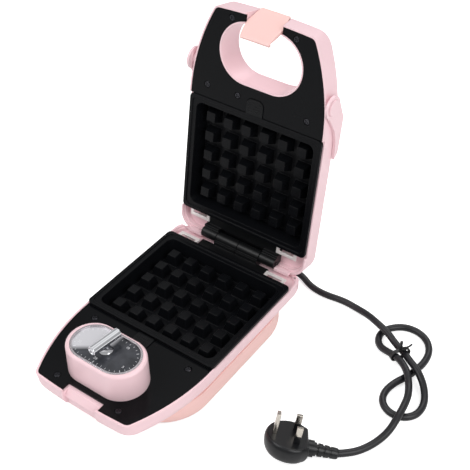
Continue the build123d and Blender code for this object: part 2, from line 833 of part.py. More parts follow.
with BuildPart() as handle_pivots:
    for side in (-1, 1):
        low, high = sorted((62.4 * side, (bail_outside - 0.2) * side))
        cross_rod((bail_y, bail_z), 3.0, low, high)

swing_open(handle_pivots)
handle_pivots.part.label = "handle_pivots"
export_step(handle_pivots.part, "parts/handle_pivots.step")

# Cord bushing: flanged grommet with a ribbed, tapered sleeve, behind the pedestal
with BuildPart() as cord_bushing:
    with BuildSketch(Plane.XY.offset(gland_z)) as bushing_half:
        with BuildLine():
            Polyline(
                (gland_x, 68.0),
                (gland_x + 5.6, 68.0),
                (gland_x + 5.6, 71.8),
                (gland_x + neck_radius, 71.8),
                (gland_x + neck_radius, 76.2),
                (gland_x + 6.8, 76.2),
                (gland_x + 6.8, 78.2),
                (gland_x + 5.4, 78.2),
                (gland_x + 4.1, bushing_end),
                (gland_x, bushing_end),
                close=True,
            )
        make_face()
    revolve(bushing_half.sketch, axis=Axis((gland_x, 0, gland_z), (0, 1, 0)))

cord_bushing.part.label = "cord_bushing"
export_step(cord_bushing.part, "parts/cord_bushing.step")

# Plug, lying on its back with its pins up, in a frame of its own
plug_plane = Plane(plug_face, x_dir=plug_x, z_dir=plug_z)

with BuildPart() as floor_block:
    slab((0, 300), (-200, 200), (-60, 0))


def plug_outline(depth, inset):
    """Outline of the plug's body below its face: round at one end, cut at the cord's end."""
    cut = 10 - inset
    shoulder = 4.5 - inset / 2
    half = 17.5 - inset
    with BuildSketch(plug_plane.offset(-depth)) as outline:
        with BuildLine():
            Line((cut, 3.5 - half), (cut, half - 3.5))
            Line((cut, half - 3.5), (shoulder, half))
            ThreePointArc((shoulder, half), (inset - 23.5, 0), (shoulder, -half))
            Line((shoulder, -half), (cut, 3.5 - half))
        make_face()
    return outline.sketch


with BuildPart() as plug_pins:
    with BuildSketch(plug_plane) as earth_section:
        with Locations((-pin_span, 0)):
            Rectangle(3.0, 6.0)
    extrude(earth_section.sketch, amount=17.3)
    with BuildSketch(plug_plane) as live_sections:
        with Locations((0, -pin_span / 2), (0, pin_span / 2)):
            Rectangle(4.8, 3.0)
    extrude(live_sections.sketch, amount=13.5)

plug_pins.part.label = "plug_pins"
export_step(plug_pins.part, "parts/plug_pins.step")

# Ribbed strain relief: rings round a sleeve, drawn as one turned form
relief_plane = plug_plane.offset(-relief_depth)
relief_axis = Axis(relief_plane.origin, relief_plane.x_dir)

with BuildPart() as plug_relief:
    with BuildSketch(relief_plane) as relief_half:
        with BuildLine():
            outline = [(8.5, 0), (8.5, 6.5), (15, 6.5), (15, 5.4)]
            for ring in range(3):
                start = 17 + 5 * ring
                ridge = 5.3 - 0.3 * ring
                outline += [(start, ridge), (start, 4.0), (start + 1.6, 4.0), (start + 1.6, ridge - 0.1)]
            outline += [(relief_end - 1, 4.4), (relief_end, 3.8), (relief_end, 0)]
            Polyline(*outline, close=True)
        make_face()
    revolve(relief_half.sketch, axis=relief_axis)
    add(floor_block.part, mode=Mode.SUBTRACT)

plug_relief.part.label = "plug_relief"
export_step(plug_relief.part, "parts/plug_relief.step")

with BuildPart() as plug_body:
    loft(
        [
            plug_outline(0, 1.2),
            plug_outline(1.5, 0.2),
            plug_outline(8, 0),
            plug_outline(plug_thick - 3, 1.5),
            plug_outline(plug_thick, 6),
        ]
    )
    add(floor_block.part, mode=Mode.SUBTRACT)
    add(plug_relief.part, mode=Mode.SUBTRACT)

plug_body.part.label = "plug_body"
export_step(plug_body.part, "parts/plug_body.step")

# Power cord: route on the floor, over itself twice at the tie and once at each loop
cord_route = [
    (gland_x, bushing_end, gland_z),
    (gland_x, 99.3, gland_z),
    (18, 108.7, 11),
    (26.1, 115.2, 7.5),
    (42.2, 117.6, 4),
    (57.1, 109.7, 3.2),
    (72.9, 108, 3),
    (91, 111, 3),
    (105.9, 109.2, 3.5),
    (119.1, 104.9, 6.5),
    (131, 98.3, 10),
    (145.2, 92.6, 10),
    (156.7, 86.4, 8),
    (166.6, 81.3, 9),
    (174.5, 75.2, 10.2),
    (185.9, 68.7, 10.2),
    (196.3, 60.4, 6),
    (203.7, 48, 3.2),
    (204.8, 35.1, 3),
    (199.6, 26.2, 3),
    (190.8, 22, 3),
    (181.2, 23.6, 3),
    (174, 30.4, 3),
    (171.7, 40.6, 3),
    (174, 52.4, 3),
    (178.7, 62.6, 3),
    (182.1, 74, 3),
    (184, 87.6, 3),
    (181.9, 99.9, 3),
    (175.5, 109.4, 3),
    (166, 114.6, 3),
    (155.8, 114.8, 3),
    (147.5, 111.2, 3),
    (140.4, 103.6, 3),
    (137.7, 95.4, 3),
    (139.4, 86.9, 3),
    (144.8, 80.2, 4),
    (152.6, 75.9, 7),
    (162.1, 74, 9),
    (171.2, 69.4, 10.2),
    (179.7, 62.2, 10.2),
    (186.3, 52.9, 7.5),
    (190.9, 42.4, 8),
    (193.3, 32.2, 10.2),
    (195, 17.1, 10.2),
    (194.6, 3.8, 5.5),
    (191.2, -8.5, 3.2),
    (186.2, -20.1, 3),
    (179.8, -29.2, 3.05),
]
cord_end = plug_plane.from_local_coords((relief_end - 1, 0, -relief_depth))
cord_points = [Vector(*point) for point in cord_route] + [Vector(*cord_end)]
cord_runs = [after - before for before, after in zip(cord_points, cord_points[1:])]
cord_radii = []
for before, after in zip(cord_runs, cord_runs[1:]):
    half_turn = radians(before.get_angle(after) / 2)
    cord_radii.append(0.45 * min(before.length, after.length) / tan(half_turn))
print("cord radii", [round(radius, 1) for radius in cord_radii])

with BuildPart() as power_cord:
    with BuildLine() as cord_path:
        FilletPolyline(*cord_points, radius=cord_radii)
    with BuildSketch(Plane(cord_points[0], z_dir=cord_runs[0])) as cord_section:
        Circle(cord_diameter / 2)
    sweep(cord_section.sketch, path=cord_path.wire())

print("cord length", round(cord_path.wire().length, 1))
print("cord volume share", power_cord.part.volume / (pi * cord_diameter**2 / 4 * cord_path.wire().length))
power_cord.part.label = "power_cord"
export_step(power_cord.part, "parts/power_cord.step")

# Twist tie: wire loop round the two upper strands, with a twisted tail
with BuildPart() as twist_tie:
    tie_plane = Plane((164.5, 78.0, 8.9), x_dir=(0.52, 0.85, 0), z_dir=(0.85, -0.52, 0))
    with BuildSketch(tie_plane) as tie_ring:
        SlotOverall(18.8, 10.2)
        SlotOverall(17.2, 8.6, mode=Mode.SUBTRACT)
    extrude(tie_ring.sketch, amount=1.6, both=True)
    with BuildSketch(tie_plane.offset(-0.8)) as tie_tail:
        with Locations((0, 9.5)):
            Rectangle(1.8, 11)
    extrude(tie_tail.sketch, amount=1.6)

twist_tie.part.label = "twist_tie"
export_step(twist_tie.part, "parts/twist_tie.step")
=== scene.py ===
"""Sandwich and waffle maker: finishes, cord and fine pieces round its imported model.

Laid out as an add-on and run as a script. Lengths are metres, in the model's frame:
the feet stand on Z = 0, the hinge is towards +Y and the latch towards -Y.
"""

from math import cos, pi, radians, sin

import bpy
from mathutils import Matrix, Vector


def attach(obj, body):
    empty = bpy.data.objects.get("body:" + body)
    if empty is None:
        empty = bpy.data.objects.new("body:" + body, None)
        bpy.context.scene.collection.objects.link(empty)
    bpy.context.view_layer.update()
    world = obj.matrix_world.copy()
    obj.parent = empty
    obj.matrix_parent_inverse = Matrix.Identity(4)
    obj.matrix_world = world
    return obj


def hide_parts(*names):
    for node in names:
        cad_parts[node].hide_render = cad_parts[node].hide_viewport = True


bl_info = {
    "name": "Sandwich and waffle maker",
    "version": (1, 0, 0),
    "blender": (4, 5, 0),
    "location": "3D View > Sidebar > Waffle maker",
    "description": "Finishes, cord and fine pieces of a small hinged cooker",
    "category": "Object",
}

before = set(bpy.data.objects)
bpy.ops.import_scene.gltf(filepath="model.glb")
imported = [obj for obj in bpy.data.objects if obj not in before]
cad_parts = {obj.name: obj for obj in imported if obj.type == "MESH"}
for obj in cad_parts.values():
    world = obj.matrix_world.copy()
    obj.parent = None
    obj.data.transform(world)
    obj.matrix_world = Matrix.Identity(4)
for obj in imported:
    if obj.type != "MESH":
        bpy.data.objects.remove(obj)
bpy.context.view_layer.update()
MM = 0.001

# The lid stands open. What is modelled on the closed lid is turned back about the hinge.
HINGE = Vector((0, 78.3, 44.3)) * MM
OPEN_TURN = radians(-98.7)
LID_OPEN = (
    Matrix.Translation(HINGE) @ Matrix.Rotation(OPEN_TURN, 4, "X") @ Matrix.Translation(-HINGE)
)

# Copies of CAD meshes: what is merged, what counts as flat, as an edge and as smooth
MERGE_WIDTH = 0.005 * MM
SLIVER_WIDTH = 0.002 * MM
FLAT_ANGLE = radians(0.5)
EDGE_ANGLE = radians(30)
SMOOTH_ANGLE = radians(38)

# Materials: clouds of colour about 45 mm wide, and how deep a full bump stands
CLOUDS_PER_METRE = 22.0
RELIEF_DEPTH = 0.1 * MM

# Screws: their places with the lid closed, and the cross cut into each head
DECK_SCREWS_MM = ((-31, -122.5), (31, -122.5), (-48.5, -59.5), (48.5, -59.5))
LID_SCREWS_MM = ((-30, -125.5), (30, -125.5), (-48.5, -62.5), (48.5, -62.5), (-18, -62.5))
DECK_RECESS_Z_MM = 40.7
LID_RECESS_Z_MM = 45.3
RECESS_MM = (3.6, 0.8, 1.4)
RECESS_TURNS = (radians(35), radians(125))

# Timer's dial: its face is 66 mm up, and the print stands just above it on a stadium track
TIMER_Y_MM = -97.6
PRINT_Z_MM = 66.04
TRACK_STRAIGHT_MM = 12.5
TRACK_RADIUS_MM = 14.6
NUMBER_INSET_MM = 3.6
NUMBER_HEIGHT_MM = 3.0
MINOR_TICK_MM = (1.3, 0.28, 0.06)
MAJOR_TICK_MM = (2.0, 0.45, 0.06)
TICK_BEVEL = 0.02 * MM
TICKS_PER_NUMBER = 6
MINUTES_PER_NUMBER = 5

# Painted reflection on the dial: dark with mid-grey painted highlight clouds about 10 mm wide, and a
# painted bright reflection left of the middle and behind a slanted line
REFLECTION_CLOUDS_PER_METRE = 95.0
BRIGHT_REFLECTION_SLOPE = -0.71
BRIGHT_REFLECTION_LEFT_MM = (3.0, -3.0)
BRIGHT_REFLECTION_REAR_MM = (0.5, 6.0)

# Knob: its turn at rest, the cosine past which a face is one of its ends, and each
# inset of an end with its height, where minus is sunk
KNOB_TURN = radians(7.5)
END_FACE = 0.99
KNOB_CAP_MM = ((0.5, 0), (0.15, -0.5), (1.2, 0), (0.1, 0.35), (0.7, 0.12))

# Power cord, from the bushing to the plug: on the floor, over itself at each loop
CORD_ROUTE_MM = (
    (14, 90, 13.2),
    (14, 99.3, 13.2),
    (18, 108.7, 11),
    (26.1, 115.2, 7.5),
    (42.2, 117.6, 4),
    (57.1, 109.7, 3.2),
    (72.9, 108, 3),
    (91, 111, 3),
    (105.9, 109.2, 3.5),
    (119.1, 104.9, 6.5),
    (131, 98.3, 10),
    (145.2, 92.6, 10),
    (156.7, 86.4, 8),
    (166.6, 81.3, 9),
    (174.5, 75.2, 10.2),
    (185.9, 68.7, 10.2),
    (196.3, 60.4, 6),
    (203.7, 48, 3.2),
    (204.8, 35.1, 3),
    (199.6, 26.2, 3),
    (190.8, 22, 3),
    (181.2, 23.6, 3),
    (174, 30.4, 3),
    (171.7, 40.6, 3),
    (174, 52.4, 3),
    (178.7, 62.6, 3),
    (182.1, 74, 3),
    (184, 87.6, 3),
    (181.9, 99.9, 3),
    (175.5, 109.4, 3),
    (166, 114.6, 3),
    (155.8, 114.8, 3),
    (147.5, 111.2, 3),
    (140.4, 103.6, 3),
    (137.7, 95.4, 3),
    (139.4, 86.9, 3),
    (144.8, 80.2, 4),
    (152.6, 75.9, 7),
    (162.1, 74, 9),
    (171.2, 69.4, 10.2),
    (179.7, 62.2, 10.2),
    (186.3, 52.9, 7.5),
    (190.9, 42.4, 8),
    (193.3, 32.2, 10.2),
    (195, 17.1, 10.2),
    (194.6, 3.8, 5.5),
    (191.2, -8.5, 3.2),
    (186.2, -20.1, 3),
    (179.8, -29.2, 3.05),
    (171.33, -36.29, 3.21),
)

# Twist tie: its middle, and its two ends twisted together, from above it to the side
TIE_PLACE = Vector((164.5, 78.0, 8.9)) * MM
TAIL_RISE = Vector((0, 0, 6.6)) * MM
TAIL_BEND = 6 * MM
TAIL_REACH = 9.5 * MM
TAIL_HOOK = Vector((-2.2, 4.2, 0)) * MM
TAIL_STEPS = 24
TAIL_TURNS = 4
TAIL_TWIST = 0.55 * MM
WIRE_RADIUS = 0.45 * MM
WIRE_SMOOTH_ANGLE = radians(50)

# Plug: middle of its face, the way to the cord, the way its pins point, how far along
# it the live pins begin, and the bare length at a live pin's tip
PLUG_PLACE = Vector((142.8, -49.2, 17.1)) * MM
PLUG_ALONG = Vector((0.861, 0.476, -0.181))
PLUG_UP = Vector((0.006, 0.345, 0.938)).normalized()
LIVE_FROM = -9 * MM
BARE_PIN = 7.2 * MM

# Level of the soft light by height: a bright band high up streaks the chrome
SKY_LEVEL = 0.4
SKY_BANDS = ((0.35, 0.42), (0.68, 0.42), (0.78, 1.0), (0.9, 0.85), (0.95, 0.35))
FLOOR_GLOW = 0.6

# Lamps: name, place and power of round lamps of one width, all aimed at the object
LAMPS = (
    ("key_light", (-0.55, -0.75, 1.15), 6.5),
    ("fill_light", (0.95, -0.25, 0.8), 6.0),
    ("back_light", (-0.1, 0.95, 1.1), 3.5),
)
LAMP_WIDTH = 0.9
LAMP_AIM = Vector((0, 0, 0.1))

CAMERA_PLACE = (0.365715, -0.444071, 0.602862)
CAMERA_AZIMUTH = radians(35.34)
CAMERA_ELEVATION = radians(40.51)
SENSOR_WIDTH_MM = 36.0
FOCAL_LENGTH_MM = 73.096


class CookerFinish(bpy.types.PropertyGroup):
    """Colours that a user would change, as sRGB hex codes."""

    housing: bpy.props.StringProperty(
        name="Housing", description="Shells, timer tower and handle", default="#F3D2D8"
    )
    trim: bpy.props.StringProperty(
        name="Trim", description="Latch and pedestal", default="#F5CBC6"
    )
    panel: bpy.props.StringProperty(
        name="Panels", description="Gloss panels round the plates", default="#0B0C0F"
    )
    coating: bpy.props.StringProperty(
        name="Coating", description="Non-stick coating of the plates", default="#0D0E11"
    )
    sheath: bpy.props.StringProperty(
        name="Sheath", description="Sheath of the cord", default="#17171B"
    )


class CookerSizes(bpy.types.PropertyGroup):
    """Sizes of the pieces that are modelled here."""

    mould_edge: bpy.props.FloatProperty(
        name="Mould edge", description="Rounding of the shells' edges", default=0.25 * MM, unit="LENGTH"
    )
    dial_ticks: bpy.props.IntProperty(
        name="Dial ticks", description="Marks round the timer's dial", default=36, min=12, max=60
    )
    cord_diameter: bpy.props.FloatProperty(
        name="Cord diameter", description="Outside of the sheath", default=6.0 * MM, unit="LENGTH"
    )
    cord_length: bpy.props.FloatProperty(
        name="Cord length", description="From bushing to plug", default=0.58, unit="LENGTH"
    )
    floor_width: bpy.props.FloatProperty(
        name="Floor width", description="Side of the pale floor", default=6.0, unit="LENGTH"
    )


def linear(code):
    """Linear colour of an sRGB hex code."""
    channels = [int(code[i : i + 2], 16) / 255 for i in (1, 3, 5)]
    return [c / 12.92 if c <= 0.04045 else ((c + 0.055) / 1.055) ** 2.4 for c in channels] + [1.0]


def add_node(tree, kind, settings=(), inputs=(), links=()):
    """A node with its settings, its input values and what is linked into it."""
    node = tree.nodes.new(kind)
    for name, value in dict(settings).items():
        setattr(node, name, value)
    for name, value in dict(inputs).items():
        node.inputs[name].default_value = value
    for name, source in dict(links).items():
        tree.links.new(source, node.inputs[name])
    return node


def new_finish(name, **inputs):
    """A new material, its node tree and its shader, with these values on the shader."""
    material = bpy.data.materials.new(name)
    material.use_nodes = True
    tree = material.node_tree
    shader = tree.nodes["Principled BSDF"]
    for socket, value in inputs.items():
        shader.inputs[socket.replace("_", " ")].default_value = value
    return material, tree, shader


def textured(tree, shader, place, grain, detail, smoothest, roughest, bump):
    """Fine texture of one grain in millimetres: an uneven gloss and a shallow relief."""
    texture = add_node(
        tree,
        "ShaderNodeTexNoise",
        inputs={"Scale": 1.0 / (grain * MM), "Detail": detail},
        links={"Vector": place},
    )
    gloss = add_node(
        tree,
        "ShaderNodeMapRange",
        inputs={"To Min": smoothest, "To Max": roughest},
        links={"Value": texture.outputs["Fac"]},
    )
    tree.links.new(gloss.outputs["Result"], shader.inputs["Roughness"])
    relief = add_node(
        tree,
        "ShaderNodeBump",
        inputs={"Strength": bump, "Distance": RELIEF_DEPTH},
        links={"Height": texture.outputs["Fac"]},
    )
    tree.links.new(relief.outputs["Normal"], shader.inputs["Normal"])


def moulded_plastic(name, code, shade, roughness, grain=0.35, bump=0.04, shine=0.5):
    """Moulded plastic: a colour that clouds towards its shade, and an even gloss.

    The grain has about its real size. It is too fine to be seen and softens the gloss.
    """
    material, tree, shader = new_finish(name, IOR=1.53, Specular_IOR_Level=shine)
    place = add_node(tree, "ShaderNodeTexCoord").outputs["Object"]
    cloud = add_node(
        tree,
        "ShaderNodeTexNoise",
        inputs={"Scale": CLOUDS_PER_METRE, "Detail": 2.0},
        links={"Vector": place},
    )
    tint = add_node(
        tree,
        "ShaderNodeMix",
        settings={"data_type": "RGBA"},
        inputs={"A": linear(code), "B": linear(shade)},
        links={"Factor": cloud.outputs["Fac"]},
    )
    tree.links.new(tint.outputs["Result"], shader.inputs["Base Color"])
    textured(tree, shader, place, grain, 3.0, roughness - 0.04, roughness + 0.05, bump)
    return material


def worked_metal(name, code, roughness, spread=0.08, grain=1.0, bump=0.03, metallic=1.0):
    """Metal with a worked surface: uneven polish at the scale of its grain."""
    material, tree, shader = new_finish(name, Metallic=metallic, Base_Color=linear(code))
    place = add_node(tree, "ShaderNodeTexCoord").outputs["Object"]
    smoothest = max(roughness - spread, 0.02)
    textured(tree, shader, place, grain, 4.0, smoothest, roughness + spread, bump)
    return material


def only(*pieces):
    """Leaves these selected and the first one active, for operators that act on all that is."""
    bpy.ops.object.select_all(action="DESELECT")
    for piece in pieces:
        piece.select_set(True)
    bpy.context.view_layer.objects.active = pieces[0]


def apply_modifiers(piece):
    """Applies all modifiers of a piece, in their order."""
    only(piece)
    for modifier in list(piece.modifiers):
        bpy.ops.object.modifier_apply(modifier=modifier.name)


def eased(node, body, material, width, clamp=False):
    """Merged copy of a CAD node with its sharp edges rounded, which stands for the node."""
    piece = bpy.data.objects.new(f"{node}_finished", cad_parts[node].data.copy())
    bpy.context.scene.collection.objects.link(piece)
    only(piece)
    bpy.ops.object.mode_set(mode="EDIT")
    bpy.ops.mesh.select_all(action="SELECT")
    bpy.ops.mesh.remove_doubles(threshold=MERGE_WIDTH)
    bpy.ops.mesh.dissolve_limited(angle_limit=FLAT_ANGLE)
    bpy.ops.object.mode_set(mode="OBJECT")
    edge = piece.modifiers.new("edges", "BEVEL")
    edge.width = width
    edge.segments = 2
    edge.limit_method = "ANGLE"
    edge.angle_limit = EDGE_ANGLE
    edge.use_clamp_overlap = clamp
    apply_modifiers(piece)
    bpy.ops.object.mode_set(mode="EDIT")
    bpy.ops.mesh.select_all(action="SELECT")
    bpy.ops.mesh.remove_doubles(threshold=SLIVER_WIDTH)
    bpy.ops.mesh.dissolve_degenerate(threshold=SLIVER_WIDTH)
    bpy.ops.object.mode_set(mode="OBJECT")
    bpy.ops.object.shade_smooth_by_angle(angle=SMOOTH_ANGLE)
    smoothing = piece.modifiers.new("normals", "WEIGHTED_NORMAL")
    smoothing.keep_sharp = True
    apply_modifiers(piece)
    piece.data.materials.clear()
    piece.data.materials.append(material)
    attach(piece, body)
    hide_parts(node)
    return piece


def dress(material, *nodes):
    """Gives CAD nodes that stay as they are their material."""
    for name in nodes:
        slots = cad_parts[name].data.materials
        slots.clear()
        slots.append(material)


def new_block(size_mm):
    """Block of this size about the origin, with its size taken into its mesh."""
    bpy.ops.object.select_all(action="DESELECT")
    bpy.ops.mesh.primitive_cube_add(size=1)
    block = bpy.context.object
    block.scale = Vector(size_mm) * MM
    bpy.ops.object.transform_apply()
    return block


def copied(piece, place_mm, turn):
    """Copy of a piece with a mesh of its own, turned about Z and then set at its place."""
    copy = bpy.data.objects.new(piece.name, piece.data.copy())
    bpy.context.scene.collection.objects.link(copy)
    place = Matrix.Translation(Vector(place_mm) * MM)
    copy.data.transform(place @ Matrix.Rotation(turn, 4, "Z"))
    return copy


def new_line(name, places, radius, round_steps, length_steps):
    """Round line that follows its places smoothly, closed at both ends."""
    curve = bpy.data.curves.new(name, "CURVE")
    curve.dimensions = "3D"
    curve.bevel_depth = radius
    curve.bevel_resolution = round_steps
    curve.resolution_u = length_steps
    curve.use_fill_caps = True
    spline = curve.splines.new("NURBS")
    spline.points.add(len(places) - 1)
    for point, place in zip(spline.points, places):
        point.co = (*place, 1.0)
    spline.order_u = 3
    spline.use_endpoint_u = True
    line = bpy.data.objects.new(name, curve)
    bpy.context.scene.collection.objects.link(line)
    return line


def dial_track(distance, straight, radius):
    """Point and outward turn on a stadium round the dial, from its front middle."""
    along = distance - straight
    turn_length = pi * radius
    if distance <= straight:
        return (distance, -radius), radians(-90)
    if along <= turn_length:
        angle = along / radius - pi / 2
        return (straight + radius * cos(angle), radius * sin(angle)), angle
    along -= turn_length
    if along <= 2 * straight:
        return (straight - along, radius), radians(90)
    along -= 2 * straight
    if along <= turn_length:
        angle = along / radius + pi / 2
        return (-straight + radius * cos(angle), radius * sin(angle)), angle
    along -= turn_length
    return (-straight + along, -radius), radians(-90)


class CookerOperator(bpy.types.Operator):
    """What the operators share."""

    bl_options = {"REGISTER", "UNDO"}


class COOKER_OT_housing(CookerOperator):
    """Moulded housing: shells, pedestal, timer tower, latch, handle and panels."""

    bl_idname = "cooker.housing"
    bl_label = "Housing"

    def execute(self, context):
        colours = context.scene.cooker_finish
        edge = context.scene.cooker_sizes.mould_edge
        # ABS out of a satin mould: a pale colour with soft, wide highlights
        pink = moulded_plastic("Pink ABS, satin moulded", colours.housing, "#F2CFD5", 0.3)
        # The same plastic in a warmer colour, a touch duller
        peach = moulded_plastic("Peach ABS, satin moulded", colours.trim, "#F4C8C2", 0.32)
        # ABS out of a polished mould: near black, with small highlights and hardly a texture
        gloss = moulded_plastic(
            "Black ABS, high gloss", colours.panel, "#090A0C", 0.16, bump=0.01, shine=0.1
        )
        # Black ABS out of a satin mould: a shade lighter and duller than the panels round it
        satin = moulded_plastic("Black ABS, satin", "#0F1012", "#0C0D0F", 0.34, shine=0.15)
        eased("base_shell", "base", pink, edge)
        eased("lid_shell", "lid", pink, edge)
        eased("timer_tower", "base", pink, edge, clamp=True)
        eased("carry_handle", "carry_handle", pink, edge, clamp=True)
        eased("handle_caps", "carry_handle", pink, 0.3 * MM, clamp=True)
        eased("pedestal", "base", peach, edge)
        eased("latch", "latch", peach, 0.35 * MM)
        eased("base_deck", "base", gloss, 0.35 * MM, clamp=True)
        eased("lid_panel", "lid", gloss, 0.35 * MM, clamp=True)
        eased("base_release_button", "base_button", satin, 0.25 * MM)
        eased("lid_release_button", "lid_button", satin, 0.25 * MM)
        return {"FINISHED"}


class COOKER_OT_plates(CookerOperator):
    """Cooking plates, the heating parts behind them and the rest of the inside."""

    bl_idname = "cooker.plates"
    bl_label = "Cooking plates"

    def execute(self, context):
        colours = context.scene.cooker_finish
        # Sprayed non-stick coating: near black, with a fine pebbled sheen
        coating = moulded_plastic(
            "Non-stick coated aluminium", colours.coating, "#0B0C0E", 0.28, 0.5, 0.06, shine=0.1
        )
        eased("base_waffle_plate", "base", coating, 0.7 * MM, clamp=True)
        eased("lid_waffle_plate", "lid", coating, 0.7 * MM, clamp=True)
        # Steel browned by its own heat: a dull warm grey
        heated = worked_metal("Heater sheath, heat-tinted steel", "#7A6F68", 0.4)
        dress(heated, "base_heater", "lid_heater")
        # Dip-coated sheet: pale, with a blurred mirror
        aluminised = worked_metal("Aluminised steel sheet", "#C9C9CB", 0.28)
        dress(aluminised, "base_reflector", "lid_reflector")
        # Barrel-plated small parts: a plain light grey shine
        zinc = worked_metal("Zinc-plated steel", "#B9BABD", 0.3)
        dress(zinc, "thermostat", "thermal_fuse", "timer_mechanism", "timer_bell", "timer_shaft")
        dress(zinc, "handle_pivots", "latch_pin", "bottom_screws")
        # Uncoloured nylon: an off-white with little shine
        nylon = moulded_plastic("White nylon", "#DAD8CF", "#D2D0C8", 0.45)
        dress(nylon, "terminal_block")
        return {"FINISHED"}


class COOKER_OT_hinge(CookerOperator):
    """Hinge, plate clips and screws."""

    bl_idname = "cooker.hinge"
    bl_label = "Hinge and clips"

    def execute(self, context):
        # Baked powder: black, with the slight orange peel of a sprayed coat
        coat = moulded_plastic("Black powder coat on steel", "#0D0E10", "#0A0B0C", 0.34, 0.6, 0.06, 0.25)
        eased("base_hinge_bracket", "base", coat, 0.4 * MM, clamp=True)
        eased("lid_hinge_bracket", "lid", coat, 0.4 * MM)
        dress(coat, "hinge_pin")
        # Dull nickel: pale all over, and its faint pink is painted reflection of the pink shells. It is
        # only part metallic, or it would mirror the black panels.
        nickel = worked_metal("Nickel-plated spring steel", "#FBF4F2", 0.38, 0.04, 2.0, 0.01, 0.45)
        eased("base_plate_clips", "base", nickel, 0.2 * MM, clamp=True)
        eased("lid_plate_clips", "lid", nickel, 0.2 * MM, clamp=True)
        # Black nickel: a dark mirror that catches the lamps
        black_steel = worked_metal("Black nickel-plated steel", "#3C3C40", 0.15, 0.04)
        self.cross_screws("deck_screws", "base", black_steel, DECK_SCREWS_MM, DECK_RECESS_Z_MM)
        self.cross_screws("lid_screws", "lid", black_steel, LID_SCREWS_MM, LID_RECESS_Z_MM)
        return {"FINISHED"}

    def cross_screws(self, node, body, material, places, height):
        """Screws with a cross recess in each head, cut where the CAD has a plain head."""
        screws = eased(node, body, material, 0.25 * MM)
        bar = new_block(RECESS_MM)
        bars = [copied(bar, (x, y, height), turn) for x, y in places for turn in RECESS_TURNS]
        only(*bars)
        bpy.ops.object.join()
        crosses = bars[0]
        if body == "lid":
            crosses.data.transform(LID_OPEN)
        cut = screws.modifiers.new("recess", "BOOLEAN")
        cut.operation = "DIFFERENCE"
        cut.solver = "EXACT"
        cut.use_self = True
        cut.object = crosses
        apply_modifiers(screws)
        bpy.data.objects.remove(crosses)
        bpy.data.objects.remove(bar)


